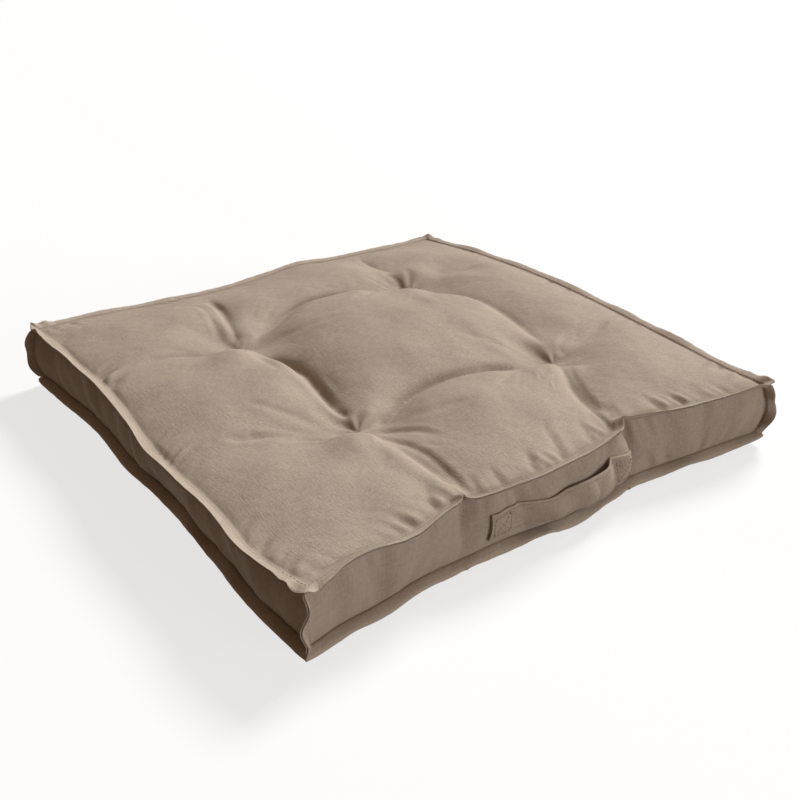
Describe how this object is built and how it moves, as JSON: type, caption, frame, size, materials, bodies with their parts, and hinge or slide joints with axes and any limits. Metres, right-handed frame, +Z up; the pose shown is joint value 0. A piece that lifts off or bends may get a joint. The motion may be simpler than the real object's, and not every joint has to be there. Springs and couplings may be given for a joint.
{
  "type": "floor cushion",
  "caption": "Square tufted floor cushion with boxed sides, turned-out seam flanges and a flat carrying strap sewn to one side.",
  "frame": {"origin": "centre of the cushion's footprint, on the floor it rests on", "axes": "+Z up through the cushion, -Y towards the side with the carrying strap, +X to the right seen from that side"},
  "size_m": [0.6, 0.6, 0.092],
  "materials": {
    "cover_cloth": "matte brushed cotton, plain weave, taupe",
    "strap_cloth": "matte cotton, folded and topstitched, taupe",
    "filling": "matte hollow fibre",
    "sewing_thread": "matte spun polyester",
    "tufting_twine": "waxed twine"
  },
  "bodies": {
    "cushion": {"top_panel": "cover_cloth", "bottom_panel": "cover_cloth", "boxing_front": "cover_cloth", "boxing_right": "cover_cloth", "boxing_back": "cover_cloth", "boxing_left": "cover_cloth", "handle_end_left": "strap_cloth", "handle_end_right": "strap_cloth", "filling": "filling", "top_seam_thread": "sewing_thread", "bottom_seam_thread": "sewing_thread", "corner_seam_thread_front_left": "sewing_thread", "corner_seam_thread_front_right": "sewing_thread", "corner_seam_thread_back_right": "sewing_thread", "corner_seam_thread_back_left": "sewing_thread", "handle_stitch_left": "sewing_thread", "handle_stitch_right": "sewing_thread", "tuft_tie_front_left": "tufting_twine", "tuft_tie_front_right": "tufting_twine", "tuft_tie_back_right": "tufting_twine", "tuft_tie_back_left": "tufting_twine"},
    "handle": {"handle_strap": "strap_cloth"}
  },
  "joints": [
    {"name": "handle_pull", "type": "slide", "parent": "cushion", "child": "handle", "axis": [0, -1, 0], "range_m": [0, 0.015]}
  ]
}
